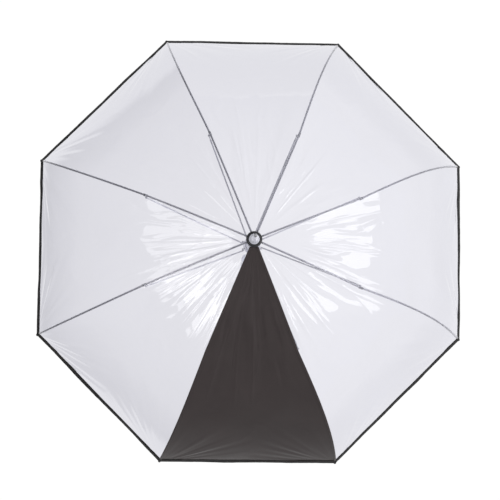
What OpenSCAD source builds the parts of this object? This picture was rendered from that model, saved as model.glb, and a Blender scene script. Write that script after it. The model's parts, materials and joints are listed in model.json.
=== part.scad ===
// Stick umbrella with a clear dome canopy, eight ribs and one opaque gore.
// Shown open. Origin at the middle of the grip, +Z up along the shaft.

/* [Canopy] */
// Distance across opposite canopy corners
span_d = 850; // [780:10:920]
// Slope of the ribs where they leave the crown, degrees below level
crown_slope = 6; // [5:0.5:8]
// Slope of the ribs at the rim, degrees below level
rim_slope = 66; // [64:1:70]
// Thickness of the film
film_t = 0.2; // [0.15:0.05:0.3]
// Width of the folded hem tape
hem_w = 14; // [10:1:16]
// Thickness of one layer of the hem tape
hem_t = 0.45; // [0.3:0.05:0.5]

/* [Ribs and stretchers] */
// Width of the channel-section ribs
rib_w = 3; // [2.8:0.1:3.2]
// Height of the channel-section ribs
rib_h = 2.4; // [2.2:0.1:2.6]
// Radius at which the stretchers are riveted to the ribs
bracket_r = 193; // [185:1:200]
// Length of a stretcher between its pivots
stretcher_len = 208; // [203:1:214]

/* [Shaft and handle] */
// Height of the rib hinges above the middle of the grip
crown_z = 690; // [670:10:720]
// Outside diameter of the shaft tube
shaft_d = 10; // [9.5:0.1:10]
// Wall of the shaft tube
shaft_wall = 0.6; // [0.5:0.05:0.7]
// Diameter of the crook handle
grip_d = 22; // [20:1:26]
// Radius of the crook's bend
hook_r = 32; // [30:1:38]
// Height of the ferrule above the rib hinges
ferrule_top = 98; // [94:1:110]

/* [Hidden] */
$fn = 64;
ARC_FN = 360;
SIDES = 8;
GORE = 360 / SIDES;
HALF = GORE / 2;
FIRST_GORE = -90;
CHORD = cos(HALF);

// How far cutters run past the faces they cut, and how far joined pieces run into each other
over = 1;
lap = 1;
fuse = 0.1;

// Rib arc in the plane of a rib, seen from the crown hinge level
crown_r = 8.5;
arc_r = (span_d / 2 - crown_r) / (sin(rim_slope) - sin(crown_slope));
arc_x = crown_r - arc_r * sin(crown_slope);
arc_z = crown_z - arc_r * cos(crown_slope);
mid_slope = (crown_slope + rim_slope) / 2;
bracket_slope = asin((bracket_r - arc_x) / arc_r);
function on_arc(slope, lift = 0) =
    [arc_x + (arc_r + lift) * sin(slope), arc_z + (arc_r + lift) * cos(slope)];
function along(mm) = mm / arc_r * 180 / PI;

// Hinge wires and eyes
wire_r = 0.7;
wire_groove_r = 0.73;
eye_r = 1.7;
eye_hole_r = 0.8;
eye_w = 2;
slot_w = 2.6;
cross_hole_len = 20;

// Rib joints
rib_wall = 0.6;
neck_len = 7;
pin_r = 0.7;
cheek_gap = 0.1;
tongue_w = rib_w - 2 * rib_wall - 2 * cheek_gap;
knuckle = 3.3;
cheek_r = 1.9;
tongue_r = 1.5;
tongue_hole_r = 0.76;
plug_len = 3;
tip_r = 2.8;
tip_start = 1.8;
tip_len = 8;

// Stretcher bracket, riveted under the rib
bracket_drop = 3.6;
bracket_w = rib_w + 0.2;
bracket_len = 8;
bracket_pivot = on_arc(bracket_slope, -bracket_drop);

// Runner
runner_ring_r = 11;
runner_drop = sqrt(pow(stretcher_len, 2) - pow(bracket_pivot[0] - runner_ring_r, 2));
runner_z = bracket_pivot[1] - runner_drop;
closed_bracket_r = 36;
bracket_arm = sqrt(pow(bracket_pivot[0] - crown_r, 2) + pow(crown_z - bracket_pivot[1], 2));
closed_runner_z = crown_z - sqrt(pow(bracket_arm, 2) - pow(closed_bracket_r - crown_r, 2))
    - sqrt(pow(stretcher_len, 2) - pow(closed_bracket_r - runner_ring_r, 2));
stretcher_tilt = asin(runner_drop / stretcher_len);
runner_bore_r = shaft_d / 2 + 0.1;
runner_r = 8.6;
runner_len = 60;
crown_disc_r = 15;
crown_up = 2.5;
crown_down = 3.5;
crown_taper = 4;
foot_r = 11;
foot_h = 5;
foot_taper = 2;
runner_edge = 1;
runner_slot_in = 0.3;
keyway_w = 3.4;
keyway_r = 7.4;

// Stretchers stand close beside the ribs, on a cranked neck
stretcher_w = 2.4;
stretcher_h = 2.2;
stretcher_wall = 0.5;
stretcher_side = bracket_w / 2 + stretcher_w / 2 + 0.2;
crank = 2.4;
blade_w = 1.4;
blade_len = 12;
blade_lap = 4;
rivet_r = 0.9;
rivet_head_r = 1.6;
rivet_head_h = 0.6;
rivet_gap = 0.25;

// Spring catches inside the shaft
shaft_bore_r = shaft_d / 2 - shaft_wall;
catch_len = 22;
catch_w = 2.6;
catch_blade = 0.7;
catch_side = 3.9;
catch_eye_r = 1.3;
catch_pin_y = -2.6;
catch_pin_reach = sqrt(pow(shaft_d / 2 - fuse, 2) - pow(catch_pin_y - pin_r, 2));
catch_slot_side = 0.3;
catch_slot_in = 2;
tooth_out = 7.1;
tooth_h = 11;
tooth_land = 2.5;
catch_gap = 0.8;
catch_play = 0.6;
top_tooth_z = runner_z - crown_down - runner_len - catch_play;
top_catch_z = top_tooth_z - catch_len;
closed_foot_z = closed_runner_z - crown_down - runner_len;
bottom_tooth_up = 21;
bottom_tooth_z = closed_foot_z + bottom_tooth_up;
bottom_catch_z = bottom_tooth_z - catch_len;
window_gap = 1;
window_low = bottom_tooth_up - tooth_h - window_gap;
window_h = tooth_h + 3 * window_gap;
stop_pin_r = 0.9;
stop_pin_out = 1.5;
stop_pin_up = 2;

// Crown: notch, cap and ferrule
notch_r = 11.5;
notch_up = 1;
notch_down = 4;
notch_slot_r = 6.4;
notch_edge = 0.6;
skirt_r = 6.6;
skirt_down = 14;
cap_low = 2.8;
cap_high = 6.6;
cap_r = 13;
cap_edge = 0.5;
cap_side_h = 1.4;
cap_slope_in = 1.2;
cap_top_in = 2.4;
cap_top_drop = 0.7;
shaft_above = 26;
shaft_top = crown_z + shaft_above;
ferrule_r = 8.4;
ferrule_base_h = 1.5;
ferrule_step_in = 0.5;
ferrule_step_h = 3;
ferrule_bulge_r = 6.2;
ferrule_bulge_down = 12;
ferrule_waist_r = 4.3;
ferrule_waist_up = 14;
ferrule_neck_r = 3.3;
spike_r = 2.5;
spike_root_r = 1.8;
spike_len = 18;
spike_root = 12;
spike_round = 2;
spike_shoulder = 0.6;
spike_top_in = 1.6;

// Film surface, clear of the ribs
film_lift = 2.6;
film_arc = arc_r + film_lift;
film_in = 8.9;
film_start = asin((film_in / CHORD - arc_x) / film_arc);
seam_gap = 0.2;
film_steps = 10;
hem_slope = along(hem_w);
hem_lip = along(1);
gore_over = 20;

// Tie strap, laid against the inside of the opaque gore
strap_w = 18;
strap_t = 1;
strap_len = 130;
strap_gap = 0.8;
strap_hem_gap = 2;
snap_in = 12;
snap_r = 5;
snap_h = 2;

// Handle
grip_up = 35;
grip_down = 35;
hook_tail = 14;
shaft_low = -15;
edge = 2;

RIBS = [for (i = [1:SIDES]) str("rib_inner_", i)];
RIB_ENDS = [for (i = [1:SIDES]) str("rib_outer_", i)];
STRETCHERS = [for (i = [1:SIDES]) str("stretcher_", i)];
UPPERS = [for (i = [1:SIDES]) str("gore_upper_", i)];
LOWERS = [for (i = [1:SIDES]) str("gore_lower_", i)];
HEMS = [for (i = [1:SIDES]) str("hem_tape_", i)];

function gore_turn(i) = FIRST_GORE + GORE * (i - 1);
function rib_turn(i) = gore_turn(i) + HALF;
function film_colour(i) = i == 1 ? "#3c3836" : "#dfe0ee";
function film_alpha(i) = i == 1 ? 1 : 0.35;

// A ring of wire round the shaft
module ring(ring_r, r) {
    rotate_extrude()
        translate([ring_r, 0])
            circle(r);
}

// Downward-open channel section, drawn across [height, width]
module channel(w, h, wall) {
    difference() {
        translate([-h / 2, -w / 2]) square([h, w]);
        translate([-h / 2 - over, wall - w / 2]) square([h - wall + over, w - 2 * wall]);
    }
}

// Channel swept along the rib arc between two slopes
module arc_channel(from, to) {
    translate([arc_x, 0, arc_z])
        rotate([90, 0, 0])
            rotate([0, 0, 90 - to])
                rotate_extrude(angle = to - from, $fn = ARC_FN)
                    translate([arc_r, 0])
                        channel(rib_w, rib_h, rib_wall);
}

// Places its children on the arc, +X running outwards along the rib
module at_slope(slope) {
    p = on_arc(slope);
    translate([p[0], 0, p[1]])
        rotate([0, slope, 0])
            children();
}

// Flat plate with one round end at the origin, lying across Y
module blade(r, reach, h, w) {
    rotate([90, 0, 0])
        linear_extrude(w, center = true) {
            circle(r);
            translate([min(0, reach), -h / 2]) square([abs(reach), h]);
        }
}

module cross_hole(r) {
    rotate([90, 0, 0]) cylinder(r = r, h = cross_hole_len, center = true);
}

// Eye on a hinge wire with a short neck running out along +X
module wire_eye(reach, h) {
    difference() {
        blade(eye_r, reach, h, eye_w);
        cross_hole(eye_hole_r);
    }
}

module bracket() {
    translate([-bracket_len / 2, -bracket_w / 2, -bracket_drop])
        cube([bracket_len, bracket_w, bracket_drop + rib_h / 2]);
    translate([0, 0, -bracket_drop])
        rotate([90, 0, 0]) cylinder(r = cheek_r, h = bracket_w, center = true);
}

module rib_inner(i) {
    start = crown_slope + along(neck_len - lap);
    end = mid_slope - along(knuckle);
    color("silver")
        rotate([0, 0, rib_turn(i)]) {
            at_slope(crown_slope) wire_eye(neck_len, rib_h);
            arc_channel(start, end);
            at_slope(bracket_slope) bracket();
            at_slope(mid_slope) {
                for (side = [-1, 1])
                    translate([0, side * (rib_w - rib_wall) / 2, 0])
                        blade(cheek_r, -knuckle - lap, rib_h, rib_wall);
                rotate([90, 0, 0]) cylinder(r = pin_r, h = rib_w, center = true);
            }
        }
}

module rib_outer(i) {
    color("silver")
        rotate([0, 0, rib_turn(i)]) {
            at_slope(mid_slope)
                difference() {
                    blade(tongue_r, knuckle + lap, rib_h - 2 * rib_wall, tongue_w);
                    cross_hole(tongue_hole_r);
                }
            at_slope(mid_slope)
                translate([knuckle, -tongue_w / 2 - fuse, -rib_h / 2 + fuse])
                    cube([plug_len, tongue_w + 2 * fuse, rib_h - 2 * fuse]);
            arc_channel(mid_slope + along(knuckle), rim_slope + along(tip_start + lap));
            at_slope(rim_slope)
                rotate([0, 90, 0]) {
                    translate([0, 0, tip_start]) cylinder(r = tip_r, h = tip_len - tip_start);
                    translate([0, 0, tip_len]) sphere(tip_r);
                }
        }
}

module stretcher(i) {
    stub_y = bracket_w / 2 + rivet_gap;
    head_y = stretcher_side + blade_w / 2;
    neck_end = neck_len + crank / 2;
    color("gainsboro")
        rotate([0, 0, rib_turn(i)])
            translate([runner_ring_r, 0, runner_z])
                rotate([0, -stretcher_tilt, 0]) {
                    wire_eye(neck_end, stretcher_h);
                    translate([neck_len - crank / 2, -eye_w / 2, -stretcher_h / 2])
                        cube([crank, stretcher_side + stretcher_w / 2 + eye_w / 2, stretcher_h]);
                    translate([neck_len, stretcher_side, 0])
                        rotate([90, 0, 90])
                            linear_extrude(stretcher_len - neck_len - blade_len + blade_lap)
                                rotate(90) channel(stretcher_w, stretcher_h, stretcher_wall);
                    translate([stretcher_len, stretcher_side, 0])
                        blade(cheek_r, -blade_len, stretcher_h, blade_w);
                    translate([stretcher_len, stub_y, 0])
                        rotate([-90, 0, 0]) cylinder(r = rivet_r, h = head_y - stub_y + fuse);
                    translate([stretcher_len, head_y, 0])
                        rotate([-90, 0, 0]) cylinder(r = rivet_head_r, h = rivet_head_h);
                }
}

// Section of a gore through its middle: radius from the shaft, height
function gore_point(slope, lift) =
    [CHORD * (arc_x + (film_arc + lift) * sin(slope)), arc_z + (film_arc + lift) * cos(slope)];
function gore_line(from, to, lift) =
    [for (k = [0:film_steps]) gore_point(from + (to - from) * k / film_steps, lift)];
function reversed(list) = [for (k = [len(list) - 1:-1:0]) list[k]];
function gore_strip(from, to, low, high) =
    concat(gore_line(from, to, high), reversed(gore_line(from, to, low)));

// The film lies flat inside the hem tape, so its last stretch is straight
function hemmed_strip(from, to, low, high) =
    concat(gore_line(from, to - hem_slope, high), [gore_point(to, high), gore_point(to, low)],
           reversed(gore_line(from, to - hem_slope, low)));

// A strip of the gore's section, drawn out straight from seam to seam
module gore_sheet(i, section) {
    reach = span_d / 2 + gore_over;
    width = reach * tan(HALF);
    rotate([0, 0, gore_turn(i)])
        intersection() {
            rotate([90, 0, 0])
                linear_extrude(2 * width, center = true)
                    polygon(section);
            linear_extrude(crown_z + gore_over)
                polygon([[seam_gap / sin(HALF), 0], [reach, width - seam_gap],
                         [reach, seam_gap - width]]);
        }
}

module gore_upper(i) {
    color(film_colour(i), film_alpha(i))
        gore_sheet(i, gore_strip(film_start, mid_slope - along(seam_gap / 2),
                                 -film_t / 2, film_t / 2));
}

module gore_lower(i) {
    color(film_colour(i), film_alpha(i))
        gore_sheet(i, hemmed_strip(mid_slope + along(seam_gap / 2), rim_slope,
                                   -film_t / 2, film_t / 2));
}

// Tape folded over the rim of a gore, as one closed strip with a slit for the film
module hem_tape(i) {
    from = rim_slope - hem_slope;
    to = rim_slope + hem_lip;
    in = film_t / 2;
    out = film_t / 2 + hem_t;
    section = [gore_point(from, out), gore_point(rim_slope, out), gore_point(to, out),
               gore_point(to, -out), gore_point(rim_slope, -out), gore_point(from, -out),
               gore_point(from, -in), gore_point(rim_slope, -in), gore_point(rim_slope, in),
               gore_point(from, in)];
    color("#1a1818") gore_sheet(i, section);
}

module tie_strap() {
    inside = -film_t / 2 - strap_gap;
    low = rim_slope - hem_slope - along(strap_hem_gap);
    high = low - along(strap_len);
    snap = high + along(snap_in);
    p = gore_point(snap, inside - strap_t);
    color("#1f1d1c") {
        rotate([0, 0, gore_turn(1)])
            rotate([90, 0, 0])
                linear_extrude(strap_w, center = true)
                    polygon(gore_strip(high, low, inside - strap_t, inside));
        rotate([0, 0, gore_turn(1)])
            translate([p[0], 0, p[1]])
                rotate([0, snap, 0])
                    translate([0, 0, -snap_h]) cylinder(r = snap_r, h = snap_h + strap_t / 2);
    }
}

module catch_slot(tooth_z) {
    translate([-catch_w / 2 - catch_slot_side, -shaft_d, tooth_z - tooth_h - catch_gap])
        cube([catch_w + 2 * catch_slot_side, shaft_d - catch_slot_in, tooth_h + 2 * catch_gap]);
}

module catch_pin(z) {
    translate([0, catch_pin_y, z])
        rotate([0, 90, 0]) cylinder(r = pin_r, h = 2 * catch_pin_reach, center = true);
}

module stop_pin(z) {
    translate([0, 0, z])
        rotate([0, 90, 0]) cylinder(r = stop_pin_r, h = shaft_d + 2 * stop_pin_out, center = true);
}

module shaft() {
    color("silver") {
        difference() {
            translate([0, 0, shaft_low]) cylinder(d = shaft_d, h = shaft_top - shaft_low);
            translate([0, 0, shaft_low - over])
                cylinder(r = shaft_bore_r, h = shaft_top - shaft_low + 2 * over);
            catch_slot(top_tooth_z);
            catch_slot(bottom_tooth_z);
        }
        catch_pin(top_catch_z);
        catch_pin(bottom_catch_z);
        stop_pin(runner_z + crown_up + stop_pin_up);
    }
}

// Leaf catch pinned inside the shaft; slope_up is true where the runner meets it from below
module spring_catch(pin_z, slope_up) {
    low = catch_len - tooth_h;
    out = -tooth_out;
    back = -catch_side;
    front = catch_blade - catch_side;
    land = slope_up ? [catch_len - tooth_land, catch_len] : [low, low + tooth_land];
    color("#8d8f92")
        translate([0, 0, pin_z])
            difference() {
                rotate([90, 0, 90])
                    linear_extrude(catch_w, center = true) {
                        translate([catch_pin_y, 0]) circle(catch_eye_r);
                        polygon([[back, 0], [front, 0], [front, catch_len], [back, catch_len],
                                 [out, land[1]], [out, land[0]], [back, low]]);
                    }
                translate([0, catch_pin_y, 0])
                    rotate([0, 90, 0])
                        cylinder(r = tongue_hole_r, h = cross_hole_len, center = true);
            }
}

module top_catch() {
    spring_catch(top_catch_z, true);
}

module bottom_catch() {
    spring_catch(bottom_catch_z, false);
}

// Eight slots that hold the eyes on a wire ring
module eye_slots(from_r, to_r, low, high) {
    for (i = [1:SIDES])
        rotate([0, 0, rib_turn(i)])
            translate([from_r, -slot_w / 2, low])
                cube([to_r - from_r, slot_w, high - low]);
}

module top_notch() {
    color("#1c1c1e")
        translate([0, 0, crown_z])
            difference() {
                rotate_extrude()
                    polygon([[shaft_d / 2, -skirt_down], [skirt_r - notch_edge, -skirt_down],
                             [skirt_r, -skirt_down + notch_edge], [skirt_r, -notch_down],
                             [notch_r, -notch_down], [notch_r, notch_up - notch_edge],
                             [notch_r - notch_edge, notch_up], [shaft_d / 2, notch_up]]);
                ring(crown_r, wire_groove_r);
                eye_slots(notch_slot_r, notch_r + over, -notch_down - over, notch_up + over);
            }
}

module notch_wire() {
    color("silver") translate([0, 0, crown_z]) ring(crown_r, wire_r);
}

module canopy_cap() {
    color("#111113")
        translate([0, 0, crown_z])
            rotate_extrude()
                polygon([[shaft_d / 2, cap_low], [cap_r - cap_edge, cap_low],
                         [cap_r, cap_low + cap_edge], [cap_r, cap_low + cap_side_h],
                         [cap_r - cap_slope_in, cap_high - cap_top_drop],
                         [cap_r - cap_top_in, cap_high], [shaft_d / 2, cap_high]]);
}

module ferrule() {
    top = ferrule_top - spike_len;
    mid = (cap_high + top) / 2;
    color("#e8eaf0", 0.5)
        translate([0, 0, crown_z])
            rotate_extrude()
                polygon([[shaft_d / 2, cap_high], [ferrule_r, cap_high],
                         [ferrule_r, cap_high + ferrule_base_h],
                         [ferrule_r - ferrule_step_in, cap_high + ferrule_step_h],
                         [ferrule_bulge_r, mid - ferrule_bulge_down],
                         [ferrule_waist_r, mid + ferrule_waist_up],
                         [ferrule_neck_r, top], [spike_root_r, top],
                         [spike_root_r, top - spike_root], [0, top - spike_root],
                         [0, shaft_above], [shaft_d / 2, shaft_above]]);
}

module ferrule_spike() {
    top = ferrule_top - spike_len;
    color("#9a9ca0")
        translate([0, 0, crown_z])
            rotate_extrude()
                polygon([[0, top - spike_root], [spike_root_r, top - spike_root],
                         [spike_root_r, top], [spike_r, top], [spike_r, ferrule_top - spike_round],
                         [spike_r - spike_shoulder, ferrule_top - spike_shoulder],
                         [spike_r - spike_top_in, ferrule_top], [0, ferrule_top]]);
}

module runner() {
    low = -crown_down - runner_len;
    color("#dcdde2")
        translate([0, 0, runner_z])
            difference() {
                rotate_extrude()
                    polygon([[runner_bore_r, low], [foot_r - runner_edge, low],
                             [foot_r, low + runner_edge], [foot_r, low + foot_h - runner_edge],
                             [foot_r - runner_edge, low + foot_h],
                             [runner_r, low + foot_h + foot_taper],
                             [runner_r, -crown_down - crown_taper],
                             [crown_disc_r - runner_edge, -crown_down],
                             [crown_disc_r, -crown_down + runner_edge],
                             [crown_disc_r, crown_up - runner_edge],
                             [crown_disc_r - runner_edge, crown_up],
                             [runner_bore_r, crown_up]]);
                ring(runner_ring_r, wire_groove_r);
                eye_slots(runner_r + runner_slot_in, crown_disc_r + over,
                          -crown_down - crown_taper - over, crown_up + over);
                translate([-keyway_w / 2, -keyway_r, low - over])
                    cube([keyway_w, keyway_r, crown_up - low + 2 * over]);
                translate([-keyway_w / 2, -foot_r - over, low + window_low])
                    cube([keyway_w, foot_r, window_h]);
            }
}

module runner_wire() {
    color("silver") translate([0, 0, runner_z]) ring(runner_ring_r, wire_r);
}

module handle() {
    color("#d9dbe4", 0.6)
        difference() {
            union() {
                translate([0, 0, -grip_down]) cylinder(d = grip_d, h = grip_up + grip_down - edge);
                translate([0, 0, grip_up - edge])
                    cylinder(d1 = grip_d, d2 = grip_d - 2 * edge, h = edge);
                translate([0, -hook_r, -grip_down])
                    rotate([90, 0, 90])
                        rotate([0, 0, 180])
                            rotate_extrude(angle = 180)
                                translate([hook_r, 0]) circle(d = grip_d);
                translate([0, -2 * hook_r, -grip_down]) cylinder(d = grip_d, h = hook_tail);
                translate([0, -2 * hook_r, -grip_down + hook_tail]) sphere(d = grip_d);
            }
            translate([0, 0, shaft_low]) cylinder(d = shaft_d, h = grip_up - shaft_low + over);
        }
}

shaft();
top_notch();
notch_wire();
canopy_cap();
ferrule();
ferrule_spike();
runner();
runner_wire();
top_catch();
bottom_catch();
handle();
tie_strap();
for (i = [1:SIDES]) {
    rib_inner(i);
    rib_outer(i);
    stretcher(i);
    gore_upper(i);
    gore_lower(i);
    hem_tape(i);
}
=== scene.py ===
"""Clear dome umbrella, seen from above: film, tape, ribs, ferrule and handle on the CAD frame."""
import json
import math

import bpy
import numpy as np
from mathutils import Matrix, Vector


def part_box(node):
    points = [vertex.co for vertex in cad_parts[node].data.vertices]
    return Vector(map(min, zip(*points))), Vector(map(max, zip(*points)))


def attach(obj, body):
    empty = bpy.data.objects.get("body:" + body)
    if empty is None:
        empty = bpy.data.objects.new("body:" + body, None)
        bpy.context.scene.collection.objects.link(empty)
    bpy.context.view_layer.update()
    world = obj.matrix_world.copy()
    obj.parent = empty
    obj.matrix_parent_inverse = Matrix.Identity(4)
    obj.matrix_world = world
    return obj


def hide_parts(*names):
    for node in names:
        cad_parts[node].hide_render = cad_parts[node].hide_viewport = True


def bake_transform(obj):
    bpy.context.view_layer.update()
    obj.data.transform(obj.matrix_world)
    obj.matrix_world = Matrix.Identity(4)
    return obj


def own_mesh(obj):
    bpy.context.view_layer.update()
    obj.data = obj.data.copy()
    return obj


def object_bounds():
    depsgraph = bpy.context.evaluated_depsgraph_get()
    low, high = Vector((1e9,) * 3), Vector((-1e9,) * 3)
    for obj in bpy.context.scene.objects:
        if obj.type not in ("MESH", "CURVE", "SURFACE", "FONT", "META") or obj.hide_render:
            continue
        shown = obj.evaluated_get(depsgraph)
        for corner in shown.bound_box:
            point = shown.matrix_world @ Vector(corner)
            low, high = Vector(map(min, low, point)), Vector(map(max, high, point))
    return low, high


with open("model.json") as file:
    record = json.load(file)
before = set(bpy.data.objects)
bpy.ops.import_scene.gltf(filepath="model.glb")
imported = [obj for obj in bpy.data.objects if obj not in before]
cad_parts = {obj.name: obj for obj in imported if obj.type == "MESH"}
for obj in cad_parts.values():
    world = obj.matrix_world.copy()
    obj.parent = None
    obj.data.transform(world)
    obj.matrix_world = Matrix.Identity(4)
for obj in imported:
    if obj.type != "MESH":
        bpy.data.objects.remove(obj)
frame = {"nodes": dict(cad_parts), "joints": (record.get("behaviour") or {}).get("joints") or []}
cad_low, cad_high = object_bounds()
joints = {j["name"]: j for j in frame["joints"]}

MM = 0.001
SIDES = 8
each = range(1, SIDES + 1)
HALF = math.pi / SIDES  # half of the angle between two ribs
CHORD = math.cos(HALF)  # how far a gore's middle is from the shaft, for ribs at a distance of 1
SLANT = math.tan(HALF)  # half of a gore's width, for a middle at a distance of 1
DARK = 1  # the opaque gore

CLIP_DROP = 3.6 * MM  # from the middle of a rib to its stretcher's rivet
CLIP_R = 1.9 * MM
BOW = 5.0 * MM  # how far the sprung ribs bow sideways, all the same way, between clip and rim
BOW_EXTRA = 3.5 * MM  # what the ribs on the +X side bow more


def hinge_turn(name):
    """The azimuth of a hinge round the shaft."""
    x, y, _ = joints[name]["pos_m"]
    return math.atan2(y, x)


def gore_turn(i):
    return hinge_turn(f"film_fold_{i}")


def rib_turn(i):
    return hinge_turn(f"rib_fold_{i}")


def rib_before(i):
    """The rib on gore i's other side: gore i lies between this rib and rib i."""
    return (i - 2) % SIDES + 1


def out_and_up(point):
    x, y, z = point
    return np.array([math.hypot(x, y), z])


def circle_through(a, b, c):
    """The centre and radius of the circle through three points of a plane."""
    rows = 2 * np.array([b - a, c - a])
    centre = np.linalg.solve(rows, [b @ b - a @ a, c @ c - a @ a])
    return centre, float(np.linalg.norm(a - centre))


def slope_of(point):
    """The angle of a point of the dome, seen from the middle of its arc, from the top down."""
    d = point - arc_centre
    return math.atan2(d[0], d[1])


def clip_slope():
    """Where the stretchers meet the ribs, from the far end of a stretcher."""
    azimuth = rib_turn(1)
    out = Vector((math.cos(azimuth), math.sin(azimuth), 0))
    reach = max(v.co.dot(out) for v in frame["nodes"]["stretcher_1"].data.vertices)
    return math.asin((reach - CLIP_R - arc_centre[0]) / (rib_r - CLIP_DROP))


# The film's arc in the plane of a rib, from the boxes of the gore that looks along +X
upper_low, upper_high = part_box("gore_upper_3")
lower_low, lower_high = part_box("gore_lower_3")
film_start = np.array([upper_low.x / CHORD, upper_high.z])
film_middle = np.array([lower_low.x / CHORD, lower_high.z])
film_rim = np.array([lower_high.x / CHORD, lower_low.z])
arc_centre, film_r = circle_through(film_start, film_middle, film_rim)
START, MIDDLE, RIM = slope_of(film_start), slope_of(film_middle), slope_of(film_rim)

rib_eye = out_and_up(joints["rib_fold_1"]["pos_m"])
rib_knuckle = out_and_up(joints["rib_flex_1"]["pos_m"])
rib_r = float(np.linalg.norm(rib_knuckle - arc_centre))
KNUCKLE = slope_of(rib_knuckle)
CLIP_SLOPE = clip_slope()
crown_z = float(rib_eye[1])
rim_z = float(film_rim[1])


# ---------------------------------------------------------------- noise and meshes

def smooth(t):
    t = np.clip(t, 0.0, 1.0)
    return t * t * (3 - 2 * t)


def rise(x, start, length):
    """0 up to a start and 1 from a length further on, with a smooth change between them."""
    return smooth((x - start) / length)


class Noise:
    """Smooth value noise from 0 to 1 on a repeating, seeded lattice."""

    SIZE = 64

    def __init__(self, seed):
        self.values = np.random.RandomState(seed).rand(self.SIZE, self.SIZE)

    def __call__(self, x, y):
        x, y = np.broadcast_arrays(np.asarray(x, float), np.asarray(y, float))
        ix, iy = np.floor(x).astype(int), np.floor(y).astype(int)
        fx, fy = smooth(x - ix), smooth(y - iy)
        v, n = self.values, self.SIZE
        low = v[ix % n, iy % n] * (1 - fx) + v[(ix + 1) % n, iy % n] * fx
        high = v[ix % n, (iy + 1) % n] * (1 - fx) + v[(ix + 1) % n, (iy + 1) % n] * fx
        return low * (1 - fy) + high * fy

    def swing(self, x, y, cell, start):
        """The noise from -1 to 1, in cells of one size each way, read from a place of its own."""
        return 2 * self(x / cell[0] + start[0], y / cell[1] + start[1]) - 1


def bow(i, slope):
    """The angle that a point of rib i stands round the shaft from the rib's own azimuth."""
    t = np.clip((slope - CLIP_SLOPE) / (RIM - CLIP_SLOPE), 0, 1)
    side = BOW + BOW_EXTRA * math.cos(rib_turn(i))
    return side * np.sin(math.pi * t) / (arc_centre[0] + rib_r * np.sin(slope))


def link(obj, material):
    bpy.context.scene.collection.objects.link(obj)
    obj.data.materials.append(material)
    return obj


def mesh_piece(name, points, faces, material):
    """A mesh object whose rest points are kept, so that its textures stay put in every pose."""
    mesh = bpy.data.meshes.new(name)
    mesh.from_pydata([tuple(p) for p in points], [], [tuple(f) for f in faces])
    mesh.update()
    mesh.polygons.foreach_set("use_smooth", [True] * len(mesh.polygons))
    rest = mesh.attributes.new("rest", "FLOAT_VECTOR", "POINT")
    co = np.zeros(len(mesh.vertices) * 3, np.float32)
    mesh.vertices.foreach_get("co", co)
    rest.data.foreach_set("vector", co)
    return link(bpy.data.objects.new(name, mesh), material)


def belongs(piece, slot, body, *stands_for):
    """A piece's material slot, which is not used, the body it rides on, and the CAD nodes that it
    replaces.
    """
    if stands_for:
        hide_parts(*stands_for)
    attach(piece, body)


def grid_faces(rows, columns, closed=False):
    """Quads of a grid of points, row by row; closed joins the last column to the first."""
    faces = []
    for r in range(rows - 1):
        for c in range(columns if closed else columns - 1):
            d = (c + 1) % columns
            faces.append((r * columns + c, r * columns + d,
                          (r + 1) * columns + d, (r + 1) * columns + c))
    return faces


def capped_faces(rings, steps):
    """Faces of a closed bar, given ring by ring, with a face across each end."""
    last = (rings - 1) * steps
    ends = [tuple(range(steps))[::-1], tuple(range(last, last + steps))]
    return grid_faces(rings, steps, closed=True) + ends


def circle(steps):
    return np.arange(steps) * math.tau / steps


def outward(points, faces):
    """The faces of a closed solid, turned so that they look outwards."""
    points = np.asarray(points, float)
    volume = 0.0
    for f in faces:
        for b, c in zip(f[1:], f[2:]):
            volume += points[f[0]] @ np.cross(points[b], points[c])
    return faces if volume > 0 else [tuple(f)[::-1] for f in faces]


def solid(name, points, faces, material):
    return mesh_piece(name, points, outward(points, faces), material)


def turned(points, azimuth):
    """Points turned round the shaft, by one angle or by one for each point."""
    points = np.asarray(points, float)
    c, s = np.cos(azimuth), np.sin(azimuth)
    x, y, z = points[..., 0], points[..., 1], points[..., 2]
    return np.stack(np.broadcast_arrays(c * x - s * y, s * x + c * y, z), axis=-1)


def unit(rows):
    return rows / np.linalg.norm(rows, axis=-1, keepdims=True)


def lathe(name, profile, material, steps):
    """A closed solid turned round the shaft's axis from a closed (radius, height) outline."""
    points = [(r * math.cos(a), r * math.sin(a), z) for r, z in profile for a in circle(steps)]
    return solid(name, points, grid_faces(len(profile), steps, closed=True), material)


def bar(stations, steps):
    """A solid turned round a local X axis from (place, radius) stations."""
    points = [(x, r * math.cos(a), r * math.sin(a)) for x, r in stations for a in circle(steps)]
    return points, capped_faces(len(stations), steps)


def round_corners(profile, radius, steps=4):
    """The same outline with each inner corner replaced by a short curve."""
    share = 1 / 2.05  # of each side that a corner may take, so that two never meet
    points = [np.array(p, float) for p in profile]
    out = [points[0]]
    for before, here, after in zip(points, points[1:], points[2:]):
        a, b = before - here, after - here
        reach = min(radius, np.linalg.norm(a) * share, np.linalg.norm(b) * share)
        p, q = here + unit(a) * reach, here + unit(b) * reach
        for t in np.arange(steps + 1) / steps:
            out.append((1 - t) ** 2 * p + 2 * t * (1 - t) * here + t * t * q)
    out.append(points[-1])
    return out


def moulding(profile, corner, steps):
    """A bar from (place, radius) in millimetres, with its inner corners rounded."""
    return bar(round_corners([(x * MM, r * MM) for x, r in profile], corner, 3), steps)


def sweep(name, path, ups, section, material):
    """A closed section (across, up) swept along a path; ups are the section's up directions."""
    path, ups = np.asarray(path, float), np.asarray(ups, float)
    along = unit(np.gradient(path, axis=0))
    across = unit(np.cross(along, ups))
    ups = np.cross(across, along)
    points = np.concatenate([p + np.outer([s[0] for s in section], a)
                             + np.outer([s[1] for s in section], u)
                             for p, a, u in zip(path, across, ups)])
    return solid(name, points, capped_faces(len(path), len(section)), material)


# ---------------------------------------------------------------- materials

WHITE = (1, 1, 1, 1)


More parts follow.
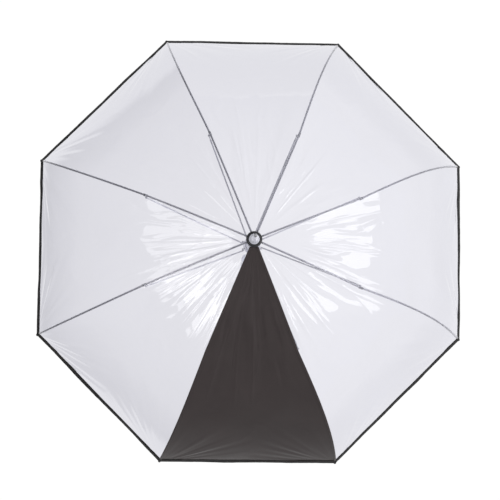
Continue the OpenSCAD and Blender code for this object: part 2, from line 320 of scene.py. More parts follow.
class Look:
    """One material and the shader nodes that the umbrella's materials share."""

    def __init__(self, name, cad=False, stretch=(1, 1, 1)):
        """Textures stand in a made piece's rest coordinates, or in a CAD node's own, in metres."""
        self.material = bpy.data.materials.new(name)
        self.material.use_nodes = True
        tree = self.material.node_tree
        tree.nodes.clear()
        self.nodes, self.links = tree.nodes, tree.links
        read = self.node("TexCoord" if cad else "Attribute")
        if not cad:
            read.attribute_name = "rest"
        source = read.outputs["Object" if cad else "Vector"]
        self.place = self.node("Mapping", Scale=stretch, Vector=source).outputs["Vector"]

    def feed(self, socket, value):
        """A socket takes a link from another one, or a constant of its own."""
        if isinstance(value, bpy.types.NodeSocket):
            self.links.new(value, socket)
        else:
            socket.default_value = value

    def node(self, kind, **inputs):
        made = self.nodes.new("ShaderNode" + kind)
        for key, value in inputs.items():
            self.feed(made.inputs[key.replace("_", " ")], value)
        return made

    def noise(self, scale, detail, rough):
        made = self.node("TexNoise", Scale=scale, Detail=detail, Roughness=rough,
                         Vector=self.place)
        return made.outputs["Fac"]

    def ramp(self, value, low, high, first=0.0, last=1.0):
        """From first, where the value is low, to last, where it is high."""
        made = self.node("MapRange", From_Min=low, From_Max=high, To_Min=first, To_Max=last,
                         Value=value)
        return made.outputs["Result"]

    def bump(self, height, distance, strength):
        made = self.node("Bump", Distance=distance, Strength=strength, Height=height)
        return made.outputs["Normal"]

    def colour(self, value, a, b):
        """Colour a where the value is 0, and b where it is 1."""
        made = self.nodes.new("ShaderNodeMix")
        made.data_type = "RGBA"
        made.inputs["A"].default_value = (*a, 1)
        made.inputs["B"].default_value = (*b, 1)
        self.links.new(value, made.inputs["Factor"])
        return made.outputs["Result"]

    def calculate(self, kind, operation, first, second):
        made = self.node(kind)
        made.operation = operation
        self.feed(made.inputs[0], first)
        self.feed(made.inputs[1], second)
        return made.outputs["Value"]

    def fade(self, direction, near, far, first, last):
        """A smooth change from first to last along a direction, between two distances."""
        distance = self.calculate("VectorMath", "DOT_PRODUCT", self.place, direction)
        value = self.ramp(distance, near, far, first, last)
        value.node.interpolation_type = "SMOOTHSTEP"
        return value

    def mix_shaders(self, share, first, second):
        made = self.node("MixShader", Fac=share)
        self.links.new(first.outputs[0], made.inputs[1])
        self.links.new(second.outputs[0], made.inputs[2])
        return made

    def show(self, shader):
        """The finished material, with this shader on its surface."""
        self.node("OutputMaterial", Surface=shader.outputs[0])
        return self.material

    def opaque(self, **inputs):
        return self.show(self.node("BsdfPrincipled", **inputs))


def clear_plastic(name, face, edge, shine, cloud, cad=False):
    """Clear film or a clear moulding: a cast that deepens edge-on, a wet gloss, and a cloud.
    face and edge are its casts, shine its gloss face-on, cloud its least and most haze."""
    look = Look(name, cad)
    ripples = look.noise(scale=45.0, detail=1.5, rough=0.5)
    normal = look.bump(ripples, distance=0.0003, strength=0.12)
    facing = look.node("LayerWeight", Blend=0.5, Normal=normal).outputs["Facing"]
    edge_on = look.calculate("Math", "POWER", facing, 5.0)
    clear = look.node("BsdfTransparent", Color=look.colour(facing, face, edge))
    gloss = look.node("BsdfGlossy", Color=WHITE, Roughness=0.05, Normal=normal)
    wet = look.mix_shaders(look.ramp(edge_on, 0, 1, first=shine, last=1.0), clear, gloss)
    patches = look.noise(scale=9.0, detail=5.0, rough=0.6)
    share = look.ramp(patches, 0.35, 0.7, first=cloud[0], last=cloud[1])
    haze = look.node("BsdfDiffuse", Color=(0.80, 0.80, 0.86, 1))
    return look.show(look.mix_shaders(share, wet, haze))


def dark_film():
    """Opaque charcoal film with a satin face and a fine grain."""
    look = Look("dark_film")
    cloud = look.noise(scale=14.0, detail=4.0, rough=0.55)
    grain = look.noise(scale=900.0, detail=2.0, rough=0.6)
    return look.opaque(
        Base_Color=look.colour(cloud, (0.034, 0.0282, 0.0277), (0.047, 0.0387, 0.0377)),
        Roughness=look.ramp(cloud, 0.3, 0.7, first=0.28, last=0.40), Specular_IOR_Level=0.045,
        Normal=look.bump(grain, distance=0.0001, strength=0.5))


def tape_fabric():
    """Black woven binding: fine ribs across the tape."""
    look = Look("hem_fabric")
    weave = look.node("TexWave", Scale=420.0, Distortion=0.4, Vector=look.place)
    weave.bands_direction = "DIAGONAL"
    fuzz = look.noise(scale=300.0, detail=3.0, rough=0.6)
    return look.opaque(
        Base_Color=look.colour(fuzz, (0.005, 0.0045, 0.0045), (0.012, 0.0105, 0.010)),
        Roughness=look.ramp(fuzz, 0.3, 0.7, first=0.62, last=0.8), Specular_IOR_Level=0.15,
        Normal=look.bump(weave.outputs["Fac"], distance=0.00012, strength=0.6))


def thread():
    look = Look("thread")
    twist = look.noise(scale=2500.0, detail=2.0, rough=0.5)
    return look.opaque(
        Base_Color=look.colour(twist, (0.012, 0.011, 0.011), (0.03, 0.028, 0.027)),
        Roughness=0.6, Specular_IOR_Level=0.3,
        Normal=look.bump(twist, distance=0.00005, strength=0.6))


def metal(name, colour, rough, grain=60.0, stretch=(1, 1, 1), cad=True):
    """Plated or drawn steel with fine lines, small stains and uneven gloss."""
    look = Look(name, cad, stretch)
    stain = look.noise(scale=grain, detail=4.0, rough=0.6)
    lines = look.noise(scale=grain * 14, detail=2.0, rough=0.5)
    darker = tuple(0.8 * c for c in colour)
    return look.opaque(
        Base_Color=look.colour(look.ramp(stain, 0.35, 0.7), darker, colour), Metallic=1.0,
        Roughness=look.ramp(stain, 0.3, 0.7, first=rough * 0.75, last=rough * 1.3),
        Normal=look.bump(lines, distance=0.00003, strength=0.5))


def black_plastic(name, cad):
    look = Look(name, cad)
    rough = 0.28
    mottle = look.noise(scale=120.0, detail=4.0, rough=0.6)
    pores = look.noise(scale=1500.0, detail=2.0, rough=0.5)
    return look.opaque(
        Base_Color=look.colour(mottle, (0.005, 0.005, 0.006), (0.011, 0.011, 0.012)),
        Roughness=look.ramp(mottle, 0.3, 0.7, first=rough * 0.8, last=rough * 1.4),
        Specular_IOR_Level=0.4, Normal=look.bump(pores, distance=0.00004, strength=0.4))


CLEAR_FILM = clear_plastic("clear_film", face=(0.775, 0.77, 0.815), edge=(0.62, 0.62, 0.68),
                           shine=0.08, cloud=(0.035, 0.09))
SEAM_FILM = clear_plastic("seam_film", face=(0.955, 0.955, 0.965), edge=(0.86, 0.86, 0.89),
                          shine=0.03, cloud=(0.01, 0.03))
CLEAR_MOULDING = clear_plastic("clear_plastic", face=(0.90, 0.905, 0.93),
                               edge=(0.66, 0.67, 0.72), shine=0.05, cloud=(0.10, 0.20))
FERRULE_MOULDING = clear_plastic("ferrule_plastic", face=(0.96, 0.96, 0.97),
                                 edge=(0.86, 0.86, 0.88), shine=0.06, cloud=(0.50, 0.78))
MILKY = clear_plastic("pale_plastic", face=(0.98, 0.98, 0.98), edge=(0.93, 0.93, 0.94),
                      shine=0.05, cloud=(0.30, 0.42), cad=True)
DARK_FILM, TAPE, THREAD = dark_film(), tape_fabric(), thread()
RIB_METAL = metal("rib_metal", (0.37, 0.365, 0.36), rough=0.30, cad=False)
STRETCHER_METAL = metal("stretcher_metal", (0.74, 0.74, 0.75), rough=0.32)
SHAFT_METAL = metal("shaft_metal", (0.72, 0.72, 0.73), rough=0.12, grain=25.0, stretch=(1, 1, 0.2))
WIRE_METAL = metal("wire", (0.6, 0.6, 0.6), rough=0.25, grain=200.0)
SPRING_METAL = metal("spring_steel", (0.32, 0.32, 0.33), rough=0.3, grain=120.0)
SPIKE_METAL = metal("spike_metal", (0.35, 0.35, 0.36), rough=0.38, grain=150.0)
BLACK_CAD = black_plastic("black_plastic", cad=True)
BLACK = black_plastic("black_moulding", cad=False)

for slot, material, names in (
        ("shaft_metal", SHAFT_METAL, ["shaft"]),
        ("wire", WIRE_METAL, ["notch_wire", "runner_wire"]),
        ("spring_steel", SPRING_METAL, ["top_catch", "bottom_catch"]),
        ("spike_metal", SPIKE_METAL, ["ferrule_spike"]),
        ("black_plastic", BLACK_CAD, ["top_notch"]),
        ("pale_plastic", MILKY, ["runner"]),
        ("rib_metal", STRETCHER_METAL, [f"stretcher_{i}" for i in each])):
    for name in names:
        obj = frame["nodes"][name]
        obj.data.materials.clear()
        obj.data.materials.append(material)


# ---------------------------------------------------------------- film

COLUMNS = 129
UPPER_ROWS = 84
LOWER_ROWS = 80
FILM_HALF = 0.2 * MM  # from the middle of the film to the tape's inner face
FOLD_HEIGHT = 0.0075  # for each metre from the shaft
DENT_HEIGHT = 1.3 * MM
RIDGE_HEIGHT = 0.6 * MM
PULL_HEIGHT = 0.9 * MM
SWELL_HEIGHT = 2.0 * MM
CREASES = 6
CREASE_WIDTH = 1.7 * MM
NICKS = 4
NICK_HEIGHT = 0.35 * MM


def film_point(i, slope, u, lift):
    """A point of gore i: slope along it, u from -1 to 1 across it, lift off the surface."""
    rho = CHORD * (arc_centre[0] + film_r * np.sin(slope))
    z = arc_centre[1] + film_r * np.cos(slope)
    n_out, n_up = np.sin(slope), CHORD * np.cos(slope)
    size = np.hypot(n_out, n_up)
    local = np.stack([rho + lift * n_out / size, u * rho * SLANT, z + lift * n_up / size], axis=-1)
    bowed = ((1 - u) * bow(rib_before(i), slope) + (1 + u) * bow(i, slope)) / 2
    return turned(local, gore_turn(i) + bowed)


def crown_folds(n, warp, u, r, along):
    """Folds that spread from the crown and end well before the rim."""
    bend = 0.25 * warp.swing(along, u, cell=(0.06, 1 / 3), start=(0, 7))
    fold = n.swing(u + bend, along, cell=(1 / 4.2, 0.11), start=(9, 3))
    small = n.swing(u + 0.6 * bend, along, cell=(1 / 9.7, 0.08), start=(30, 17))
    fan = r * (1 - rise(r, 0.13, 0.18)) * rise(r, 0.012, 0.03)
    return FOLD_HEIGHT * fan * (fold + 0.45 * small)


def dents(n, warp, across, along, t):
    """Soft dents all over, shallower towards the rim."""
    drift = 0.0175 * warp.swing(across, along, cell=(0.05, 0.08), start=(20, 31))
    dent = n.swing(across + drift, along - drift, cell=(0.047, 0.08), start=(25, 14))
    return DENT_HEIGHT * dent * rise(along, 0, 0.08) * (1 - 0.7 * rise(t, 0.45, 0.4))


def fine_ridges(n, warp, across, along, t):
    """A net of fine ridges, where a noise passes through its middle value."""
    wander = 0.75 * warp.swing(along, across, cell=(0.07, 0.05), start=(5, 11))
    swing = n.swing(across, along, cell=(0.036, 0.10), start=(33 + wander, 7 - wander))
    return RIDGE_HEIGHT * (1 - np.abs(swing)) ** 6 * rise(along, 0.02, 0.05) * (1 - 0.9 * smooth(t))


def nicks(seed, half, across, along):
    """A few small round dimples between the crown and the middle."""
    height = 0.0
    for _ in range(NICKS):
        at, out, size = seed.rand(3)
        off = np.hypot(across - (1.6 * at - 0.8) * half, along - 0.45 * out - 0.05)
        height = height + NICK_HEIGHT * np.exp(-(off / ((2.2 + 1.5 * size) * MM)) ** 2)
    return height


def sharp_creases(seed, half, u, along):
    """Straight, narrow creases that lean a little and fade at both ends."""
    height = 0.0
    for _ in range(CREASES):
        at, lean, first, length, tall = seed.rand(5)
        line = (1.7 * at - 0.85) + (lean - 0.5) * along
        start = 0.02 + 0.10 * first
        end = start + 0.06 + 0.16 * length
        stretch = rise(along, start, 0.02) * (1 - rise(along, end, 0.05))
        off = (u - line) * half / CREASE_WIDTH
        height = height + (0.25 + 0.35 * tall) * MM * np.exp(-off ** 2) * stretch
    return height


def corner_pulls(n, u, half, to_rim):
    """Folds that fan out from the rim's corners, where the film is tied to the ribs."""
    to_side = (1 - np.abs(u)) * half
    away = np.hypot(to_side, to_rim)
    angle = np.arctan2(to_rim, to_side)
    pull = n.swing(angle, away, cell=(1 / 11, 0.12), start=(50 * (u > 0), 40))
    return PULL_HEIGHT * pull * rise(away, 0, 0.05) * (1 - rise(away, 0.06, 0.18))


def creases(i, slope, u):
    """Height of gore i's folds over its smooth surface. The seams hold the film down."""
    n, warp, seed = Noise(40 + i), Noise(60 + i), np.random.RandomState(20 + i)
    r = arc_centre[0] + film_r * np.sin(slope)
    half = r * SLANT
    across = u * half
    along = (slope - START) * film_r
    t = (slope - START) / (RIM - START)
    slack = 1.5 - 0.85 * max(0.0, math.sin(gore_turn(i)))  # least in the gores on the +Y side
    height = slack * (crown_folds(n, warp, u, r, along) + dents(n, warp, across, along, t)) \
        + fine_ridges(n, warp, across, along, t) + nicks(seed, half, across, along) \
        + sharp_creases(seed, half, u, along) + corner_pulls(n, u, half, (RIM - slope) * film_r)
    swell = SWELL_HEIGHT * (1 - u * u) * smooth(t) * (n(0.3, i * 1.7) - 0.35)
    return (1 - np.abs(u) ** 6) * (height + swell)


def grid_normals(points):
    """Unit normals of a grid of points [rows, columns, 3], pointing away from the shaft."""
    n = unit(np.cross(np.gradient(points, axis=0), np.gradient(points, axis=1)))
    return n if n[..., 2].mean() > 0 else -n


def sheet(name, points, normals, material):
    rows, columns = points.shape[:2]
    faces = [f[::-1] for f in grid_faces(rows, columns)]
    piece = mesh_piece(name, points.reshape(-1, 3), faces, material)
    piece.data.normals_split_custom_set_from_vertices(normals.reshape(-1, 3))
    return piece


def ride_film(piece, body):
    """Soft pieces get a mesh of their own and ride on the film's body."""
    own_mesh(piece)
    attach(piece, body)


def make_gore(i):
    """One creased sheet, cut where the CAD's gore has its joint, with normals that run on."""
    upper = np.linspace(START, MIDDLE, UPPER_ROWS)
    lower = np.linspace(MIDDLE, RIM, LOWER_ROWS)
    slopes = np.concatenate([upper, lower[1:]])
    slope, u = np.meshgrid(slopes, np.linspace(-1, 1, COLUMNS), indexing="ij")
    points = film_point(i, slope, u, creases(i, slope, u))
    normals = grid_normals(points)
    material, slot = (DARK_FILM, "dark_film") if i == DARK else (CLEAR_FILM, "clear_film")
    for name, body, low, high in (("upper", f"film_{i}", 0, UPPER_ROWS),
                                  ("lower", f"film_end_{i}", UPPER_ROWS - 1, len(slopes))):
        piece = sheet(f"film_{name}_{i}", points[low:high], normals[low:high], material)
        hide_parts(f"gore_{name}_{i}")
        ride_film(piece, body)


# ---------------------------------------------------------------- hem tape

TAPE_COLUMNS = 160
TAPE_THICK = 0.5 * MM
TAPE_BEAD = 1.15 * MM
STITCH = 3.0 * MM
STITCH_GAP = 1.2 * MM
STITCH_PLACE = 0.72  # between the rim and the tape's upper edge


def tape_width():
    low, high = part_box("hem_tape_3")
    return (high.z - low.z) / math.sin(RIM)


def tape_section():
    """(slope, lift) round the tape: its outer layer, the bead at the fold, its inner layer."""
    high, low = RIM - tape_width() / film_r, RIM - TAPE_BEAD / film_r
    flat = FILM_HALF + TAPE_THICK
    outer = [(high + (low - high) * t, flat + (TAPE_BEAD - flat) * smooth(t ** 3))
             for t in np.linspace(0, 1, 8)]
    bead = [(low + 1.5 * TAPE_BEAD * math.sin(turn) / film_r, TAPE_BEAD * math.cos(turn))
            for turn in math.pi * np.arange(1, 10) / 10]
    inner = [(slope, -lift) for slope, lift in outer[::-1]]
    return outer + bead + inner + [(high, -FILM_HALF), (high, FILM_HALF)]


def make_tape(i):
    """Tape folded over the rim, whose edges waver a little."""
    wave = Noise(80 + i)
    waver, waves, per_metre = 0.25 * MM, 30, 900
    u = np.linspace(-1, 1, TAPE_COLUMNS)
    rows = []
    for slope, lift in tape_section():
        s = np.full_like(u, slope)
        edge = waver * (wave(waves * u + 3, lift * per_metre + 5) - 0.5)
        rows.append(film_point(i, s, u, lift + creases(i, s, u) + edge))
    points = np.stack(rows, axis=1).reshape(-1, 3)
    piece = solid(f"tape_{i}", points, capped_faces(TAPE_COLUMNS, len(rows)), TAPE)
    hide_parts(f"hem_tape_{i}")
    ride_film(piece, f"film_end_{i}")


def make_stitches(i):
    """Two-thread stitching along the tape, a row of short raised stitches on both faces."""
    slope = RIM - STITCH_PLACE * tape_width() / film_r
    half = CHORD * (arc_centre[0] + film_r * math.sin(slope)) * SLANT
    count = int(2 * half / (STITCH + STITCH_GAP))
    ends = STITCH * np.array([-1, -0.3, 0.3, 1]) / 2
    rise = np.array([-0.1, 0.22, 0.22, -0.1]) * MM  # both ends dive into the tape
    side, crest, root = 0.28 * MM / film_r, 0.12 * MM, 0.3 * MM  # of a stitch's section
    points, faces = [], []
    for k in range(count):
        u = ((k + 0.5) * 2 * half / count - half + ends) / half
        s = np.full_like(u, slope)
        for face in (1, -1):
            lift = creases(i, s, u) + face * (TAPE_THICK + FILM_HALF + rise)
            ring = np.stack([film_point(i, s - side, u, lift),
                             film_point(i, s, u, lift + face * crest),
                             film_point(i, s + side, u, lift),
                             film_point(i, s, u, lift - face * root)], axis=1).reshape(-1, 3)
            faces += [tuple(len(points) + v for v in f)
                      for f in outward(ring, capped_faces(4, 4))]
            points += list(ring)
    piece = mesh_piece(f"stitches_{i}", points, faces, THREAD)
    ride_film(piece, f"film_end_{i}")


# ---------------------------------------------------------------- ribs

RIB_W = 2.7 * MM
RIB_H = 2.4 * MM
RIB_WALL = 0.6 * MM
RIB_ROWS = 170
SEAM_ROWS = 160
SEAM_W = 4.0 * MM
BEND = 0.07  # slope, either side of the knuckle, over which a rib bends


def rib_point(i, slope, lift=0.0):
    r = arc_centre[0] + (rib_r + lift) * math.sin(slope)
    z = arc_centre[1] + (rib_r + lift) * math.cos(slope)
    return turned([r, 0, z], rib_turn(i) + bow(i, slope))


def rib_up(i, slope):
    return turned([math.sin(slope), 0, math.cos(slope)], rib_turn(i) + bow(i, slope))


def frame_at(i, slope):
    """A point of a rib and the local frame there: along it, across it, and off it."""
    matrix = np.eye(3)
    matrix[0] = turned([math.cos(slope), 0, -math.sin(slope)], rib_turn(i))
    matrix[2] = rib_up(i, slope)
    matrix[1] = np.cross(matrix[2], matrix[0])
    return rib_point(i, slope), matrix


def along_rib(name, i, slopes, lift, section, material):
    """A strip swept along rib i."""
    piece = sweep(name, [rib_point(i, s, lift) for s in slopes], [rib_up(i, s) for s in slopes],
                  section, material)
    rib_point(i, KNUCKLE - BEND)
    rib_point(i, KNUCKLE + BEND)
    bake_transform(piece)
    return piece


def channel_section():
    """A channel, open downwards, with rounded shoulders, as (across, up) points."""
    w, h, t, b = RIB_W / 2, RIB_H / 2, RIB_WALL, 0.5 * MM
    outer = [(-w, -h), (-w, h - b), (-w + 0.3 * b, h - 0.3 * b), (-w + b, h),
             (w - b, h), (w - 0.3 * b, h - 0.3 * b), (w, h - b), (w, -h)]
    inner = [(w - t, -h), (w - t, h - t), (-w + t, h - t), (-w + t, -h)]
    return outer + inner


def make_rib(i):
    """One sprung channel from the crown's eye to the rim."""
    from_eye, past_rim = 5.5 * MM, 2.6 * MM
    slopes = np.linspace(slope_of(rib_eye) + from_eye / rib_r, RIM + past_rim / rib_r, RIB_ROWS)
    rib = along_rib(f"rib_strip_{i}", i, slopes, 0.0, channel_section(), RIB_METAL)
    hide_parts(f"rib_inner_{i}", f"rib_outer_{i}")


def make_seam(i):
    """The welded overlap of two gores along a rib: a low rounded strip of film."""
    slopes = np.linspace(START + 4 * MM / film_r, RIM - tape_width() / film_r, SEAM_ROWS)
    w, h, foot = SEAM_W / 2, 0.3 * MM, 0.1 * MM
    section = [(-w, -foot), (-w, foot / 2), (-w + 0.5 * MM, h), (0, h + 0.2 * MM),
               (w - 0.5 * MM, h), (w, foot / 2), (w, -foot), (0, foot)]
    dark = i in (DARK, rib_before(DARK))
    along_rib(f"seam_{i}", i, slopes, film_r - rib_r + foot, section,
              DARK_FILM if dark else SEAM_FILM)


def plate(outline, thick):
    """A flat plate with small chamfers, from an outline (along, up), standing across."""
    chamfer = 0.15 * MM
    outline = np.asarray(outline, float)
    inset = outline + unit(outline.mean(axis=0) - outline) * chamfer
    rings = [(-thick / 2, inset), (-thick / 2 + chamfer, outline),
             (thick / 2 - chamfer, outline), (thick / 2, inset)]
    points = [(x, side, z) for side, ring in rings for x, z in ring]
    return points, capped_faces(len(rings), len(outline))


def rod(r, first, last):
    """A short round bar across the rib, with bevelled ends."""
    bevel = 0.2 * MM
    points, faces = bar([(first, r - bevel), (first + bevel, r), (last - bevel, r),
                         (last, r - bevel)], 20)
    return [(y, x, z) for x, y, z in points], faces


def shifted(group, side=0.0, up=0.0):
    points, faces = group
    return [(x, y + side, z + up) for x, y, z in points], faces


def arc_points(centre, r, first, last, steps):
    return [(centre[0] + r * math.cos(a), centre[1] + r * math.sin(a))
            for a in np.radians(np.linspace(first, last, steps))]


def place_group(name, groups, origin, matrix, material):
    """One object of separate closed solids, each given as (points, faces) in a local frame."""
    points, faces = [], []
    for local, own in groups:
        placed = np.asarray(local, float) @ matrix + origin
        faces += [tuple(len(points) + v for v in f) for f in outward(placed, own)]
        points += list(placed)
    return mesh_piece(name, points, faces, material)


def make_eye(i):
    """The flattened end of a rib, bent round the crown's wire."""
    length, half, thick = 7.5 * MM, 1.05 * MM, 2.0 * MM
    outline = arc_points((0, 0), 1.7 * MM, 40, 320, 22) + [(length, -half), (length, half)]
    eye = place_group(f"rib_eye_{i}", [plate(outline, thick)],
                      *frame_at(i, slope_of(rib_eye)), RIB_METAL)
    belongs(eye, "rib_metal", f"rib_{i}")


def make_bracket(i):
    """A folded clip under the rib with the rivet that a stretcher turns on."""
    half, top, skirt, roof = 4 * MM, 1.3 * MM, -0.9 * MM, 1.65 * MM
    cheek = plate([(-half, top), (-half, skirt)]
                  + arc_points((0, -CLIP_DROP), CLIP_R, 200, 340, 14)
                  + [(half, skirt), (half, top)], 0.5 * MM)
    cheeks = [shifted(cheek, side=side * 1.75 * MM) for side in (-1, 1)]
    rivet = shifted(rod(0.9 * MM, -2.3 * MM, 4.6 * MM), up=-CLIP_DROP)
    bridge = plate([(-half, 1.2 * MM), (half, 1.2 * MM), (half, roof), (-half, roof)], 4.0 * MM)
    clip = place_group(f"rib_clip_{i}", cheeks + [rivet, bridge], *frame_at(i, CLIP_SLOPE),
                       RIB_METAL)
    belongs(clip, "rib_metal", f"rib_{i}")


TIP_PROFILE = [(1.4, 0.05), (1.4, 2.0), (2.0, 2.55), (3.6, 2.6), (4.6, 2.1), (5.6, 2.15),
               (6.8, 2.75), (8.2, 2.8), (9.4, 2.3), (10.2, 1.2), (10.4, 0.05)]
STUD_PROFILE = [(0.3, 0.05), (0.3, 4.6), (0.9, 5.0), (1.3, 4.4), (1.5, 2.6), (2.3, 2.4),
                (2.4, 0.05)]


def make_tip(i):
    """The moulded tip at the rim, with a waist where the tape is tied on."""
    tip = place_group(f"rib_tip_{i}", [moulding(TIP_PROFILE, 0.5 * MM, 28)],
                      *frame_at(i, RIM), BLACK)
    belongs(tip, "black_plastic", f"rib_end_{i}")


for i in each:
    make_rib(i)
for i in each:
    for make in (make_gore, make_tape, make_stitches, make_eye, make_bracket, make_tip,
                 make_seam):
        make(i)


# ---------------------------------------------------------------- crown and handle

STRAP_W = 18 * MM
STRAP_T = 1.0 * MM
STRAP_GAP = 1.3 * MM  # from the film to the middle of the strap
STRAP_ROWS = 60
STRAP_COLUMNS = 13
STUD_ROW = 6


def make_cap():
    low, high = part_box("canopy_cap")
    r, bore = high.x, 5.0 * MM
    profile = [(bore, low.z), (r - 0.6 * MM, low.z - 0.4 * MM), (r, low.z), (r, low.z + 1.2 * MM),
               (r - 1.6 * MM, high.z - 0.9 * MM), (r - 3.4 * MM, high.z), (bore, high.z),
               (bore, low.z)]
    cap = lathe("cap", round_corners(profile, 0.8 * MM), BLACK, 96)
    belongs(cap, "black_plastic", "shaft_group", "canopy_cap")


def make_ferrule():
    """A clear taper with a socket for the shaft below and one for the spike above."""
    low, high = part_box("ferrule")
    r, foot, top = high.x, low.z, high.z
    tall = top - foot
    shaft_r, spike_r, axis = 5.0 * MM, 1.8 * MM, 0.01 * MM
    shaft_top, spike_foot = foot + 19.4 * MM, top - 12 * MM
    profile = [(shaft_r, foot), (r, foot), (r, foot + 1.6 * MM), (r - 0.9 * MM, foot + 3 * MM),
               (r - 1.9 * MM, foot + 0.35 * tall), (4.4 * MM, foot + 0.7 * tall),
               (3.2 * MM, top), (spike_r, top), (spike_r, spike_foot), (axis, spike_foot)]
    socket = [(axis, shaft_top), (shaft_r, shaft_top), (shaft_r, foot)]
    ferrule = lathe("clear_ferrule", round_corners(profile, 1.2 * MM) + socket,
                    FERRULE_MOULDING, 64)
    belongs(ferrule, "clear_plastic", "shaft_group", "ferrule")


def make_handle():
    """The crook: a round bar that bends under the opaque gore and ends in a dome."""
    low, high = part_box("handle")
    r, top = high.x, high.z
    hook_r = -(low.y + r) / 2
    bend_z = low.z + hook_r + r
    tail, lip, mouth, steps = 14 * MM, 2 * MM, 0.6 * MM, 48
    path = [(0, 0, top + (bend_z - top) * t) for t in np.arange(12) / 12]
    path += [(0, hook_r * (math.cos(a) - 1), bend_z - hook_r * math.sin(a))
             for a in np.linspace(0, math.pi, 41)]
    path += [(0, -2 * hook_r, bend_z + tail * t) for t in (0.25, 0.5, 0.75, 1.0)]
    path = np.array(path)
    along = unit(np.gradient(path, axis=0))
    rings = [(path[0] + along[0] * deep, along[0], size)
             for deep, size in ((0, r - lip), (mouth, r - mouth), (lip, r))]
    rings += [(p, a, r) for p, a in zip(path[1:], along[1:])]
    rings += [(path[-1] + along[-1] * r * math.sin(a), along[-1], r * math.cos(a))
              for a in math.pi / 2 * np.arange(1, 8) / 8]
    rings.append((path[-1] + along[-1] * r, along[-1], 0.05 * MM))
    side = np.array([1.0, 0, 0])
    points = [centre + size * (math.cos(a) * side + math.sin(a) * np.cross(direction, side))
              for centre, direction, size in rings for a in circle(steps)]
    crook = solid("crook", points, capped_faces(len(rings), steps), CLEAR_MOULDING)
    belongs(crook, "clear_plastic", "shaft_group", "handle")


def strap_point(slope, side=0.0):
    """A point of the strap's middle, inside a gore that looks along +X."""
    r = film_r - STRAP_GAP
    return np.array([CHORD * (arc_centre[0] + r * math.sin(slope)), side,
                     arc_centre[1] + r * math.cos(slope)])


def off_gore(slope):
    """The direction off the film in the middle of a gore that looks along +X."""
    return unit(np.array([math.sin(slope), 0, CHORD * math.cos(slope)]))


def strap_ring(slope, t):
    """The strap's section, with thin edges; t is 0 at its rounded upper end and 1 at its foot."""
    rounded = math.sqrt(1 - 0.75 * max(0.0, 1 - 10 * t) ** 2)
    wave = 0.25 * MM * math.sin(9 * t) * t
    across = np.linspace(-1, 1, STRAP_COLUMNS)
    ring = []
    for face, run in ((1, across), (-1, across[::-1])):
        for side in run:
            thick = STRAP_T / 2 * (1 - 0.5 * abs(side) ** 8)
            ring.append(strap_point(slope, side * STRAP_W / 2 * rounded)
                        + off_gore(slope) * (face * thick + wave))
    return ring


def make_strap():
    """Tie strap against the inside of the opaque gore: folded tape with a press stud."""
    azimuth = gore_turn(DARK)
    heights = [v.co.z for v in frame["nodes"]["tie_strap"].data.vertices]
    slopes = np.linspace(math.acos((max(heights) - arc_centre[1]) / film_r),
                         math.acos((min(heights) - arc_centre[1]) / (film_r - STRAP_GAP)),
                         STRAP_ROWS)
    rings = [strap_ring(slope, k / (STRAP_ROWS - 1)) for k, slope in enumerate(slopes)]
    strap = solid("tie_strap_web", turned(np.concatenate(rings), azimuth),
                  capped_faces(STRAP_ROWS, 2 * STRAP_COLUMNS), TAPE)
    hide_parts("tie_strap")
    ride_film(strap, f"film_end_{DARK}")
    slope = slopes[STUD_ROW]
    inward, side = -turned(off_gore(slope), azimuth), turned([0, 1, 0], azimuth)
    stud = place_group("strap_stud", [moulding(STUD_PROFILE, 0.3 * MM, 32)],
                       turned(strap_point(slope), azimuth),
                       np.array([inward, side, np.cross(inward, side)]), BLACK)
    ride_film(stud, f"film_end_{DARK}")


make_cap()
make_ferrule()
make_handle()
make_strap()


# ---------------------------------------------------------------- studio

FLOOR_GLOW = 1.03
FLOOR_GAP = 0.02  # from the lowest point of the handle
FLOOR_SIZE = 30.0
CARD_LIFT = 2 * MM
SKY_R = 20.0
SKY_RINGS = 12
SKY_STEPS = 48
LEFT = (-0.99, -0.10, 0)
LIGHTS = (  # name, azimuth and tilt seen from the crown in degrees, distance, size, power
    ("left_1", -188, 44, 1.6, (0.38, 1.36), 1.9),
    ("left_2", -165, 44, 1.6, (0.38, 1.36), 2.1),
    ("left_3", -142, 44, 1.6, (0.38, 1.36), 2.3),
    ("left_core", -140, 47, 1.5, (0.55, 0.7), 2.2),
    ("right_upper", 9, 62, 1.7, (0.42, 1.2), 2.9),
    ("right_lower", -22, 66, 1.7, (0.50, 1.3), 3.6))


def glowing(name, points, faces, colour, glow_of=None):
    """A stage piece of plain light. One that is graded, by glow_of(look), is a reflector for
    the film and doesn't show to the camera."""
    mesh = bpy.data.meshes.new(name)
    mesh.from_pydata(points, [], faces)
    look = Look(name, cad=True)
    strength = glow_of(look) if glow_of else FLOOR_GLOW
    material = look.show(look.node("Emission", Color=(*colour, 1), Strength=strength))
    obj = link(bpy.data.objects.new(name, mesh), material)
    obj.visible_camera = glow_of is None


def card_glow(look):
    """Darker away from the umbrella on the -X side, and brighter on the +X side."""
    strength = look.fade(LEFT, 0.70, 0.95, FLOOR_GLOW, 0.30)
    for near, far, first, last in ((1.10, 3.20, 0.0, 0.24), (-2.20, -0.90, 0.38, 0.0)):
        strength = look.calculate("Math", "ADD", strength, look.fade(LEFT, near, far, first, last))
    return strength


def sky_glow(look):
    """Brighter on the +X side."""
    return look.fade(LEFT, -0.8 * SKY_R, 0.5 * SKY_R, 1.50, 0.56)


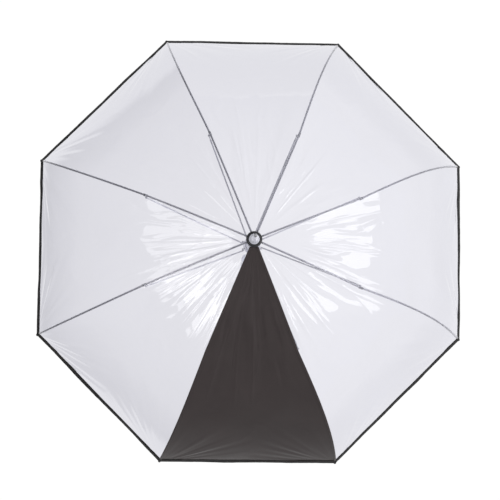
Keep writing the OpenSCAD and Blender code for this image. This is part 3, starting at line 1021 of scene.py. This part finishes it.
def floor_and_sky():
    """A plain white floor, and a reflector card and a dome that only light and reflect."""
    floor_z, size = cad_low.z - FLOOR_GAP, FLOOR_SIZE
    for name, z, glow_of in (("floor", floor_z, None),
                             ("floor_card", floor_z + CARD_LIFT, card_glow)):
        corners = [(-size, -size, z), (size, -size, z), (size, size, z), (-size, size, z)]
        glowing(name, corners, [(0, 1, 2, 3)], (1, 1, 1), glow_of)
    points = [(SKY_R * math.cos(tilt) * math.cos(a), SKY_R * math.cos(tilt) * math.sin(a),
               floor_z + SKY_R * math.sin(tilt))
              for tilt in np.linspace(0, math.pi / 2 - 0.01, SKY_RINGS) for a in circle(SKY_STEPS)]
    faces = grid_faces(SKY_RINGS, SKY_STEPS, closed=True)
    faces.append(tuple(range((SKY_RINGS - 1) * SKY_STEPS, SKY_RINGS * SKY_STEPS)))
    glowing("sky", points, faces, (0.95, 0.96, 1.0), sky_glow)


def studio():
    """Plain white surroundings, and soft lights aimed at the crown that the camera can't see."""
    world = bpy.data.worlds.new("studio")
    world.use_nodes = True
    back = world.node_tree.nodes["Background"]
    back.inputs["Color"].default_value = WHITE
    back.inputs["Strength"].default_value = FLOOR_GLOW
    bpy.context.scene.world = world
    bpy.context.scene.view_settings.view_transform = "Standard"
    crown = Vector((0, 0, crown_z))
    for name, azimuth, tilt, distance, size, power in LIGHTS:
        a, t = math.radians(azimuth), math.radians(tilt)
        away = Vector((math.cos(a) * math.sin(t), math.sin(a) * math.sin(t), math.cos(t)))
        data = bpy.data.lights.new(name, "AREA")
        data.shape = "RECTANGLE"
        data.size, data.size_y = size
        data.energy = power
        obj = bpy.data.objects.new(name, data)
        obj.location = crown + distance * away
        obj.rotation_euler = (crown - obj.location).to_track_quat("-Z", "Y").to_euler()
        obj.visible_camera = False
        bpy.context.scene.collection.objects.link(obj)


def camera():
    """Above the canopy and a little to one side, aimed at the middle of the rim."""
    distance, lean_x, lean_y, roll = 2.0, -0.043, -0.114, 0.78
    data = bpy.data.cameras.new("camera")
    data.sensor_width = 36.0
    data.lens = 76.7
    obj = bpy.data.objects.new("camera", data)
    place = Vector((lean_x, lean_y, rim_z + distance))
    aim = Vector((0, 0, rim_z)) - place
    tilt = Matrix.Rotation(math.atan2(aim.y, -aim.z), 4, "X") \
        @ Matrix.Rotation(math.atan2(-aim.x, math.hypot(aim.y, aim.z)), 4, "Y")
    obj.matrix_world = Matrix.Translation(place) @ tilt \
        @ Matrix.Rotation(math.radians(roll), 4, "Z")
    bpy.context.scene.collection.objects.link(obj)
    bpy.context.scene.camera = obj


floor_and_sky()
studio()
camera()
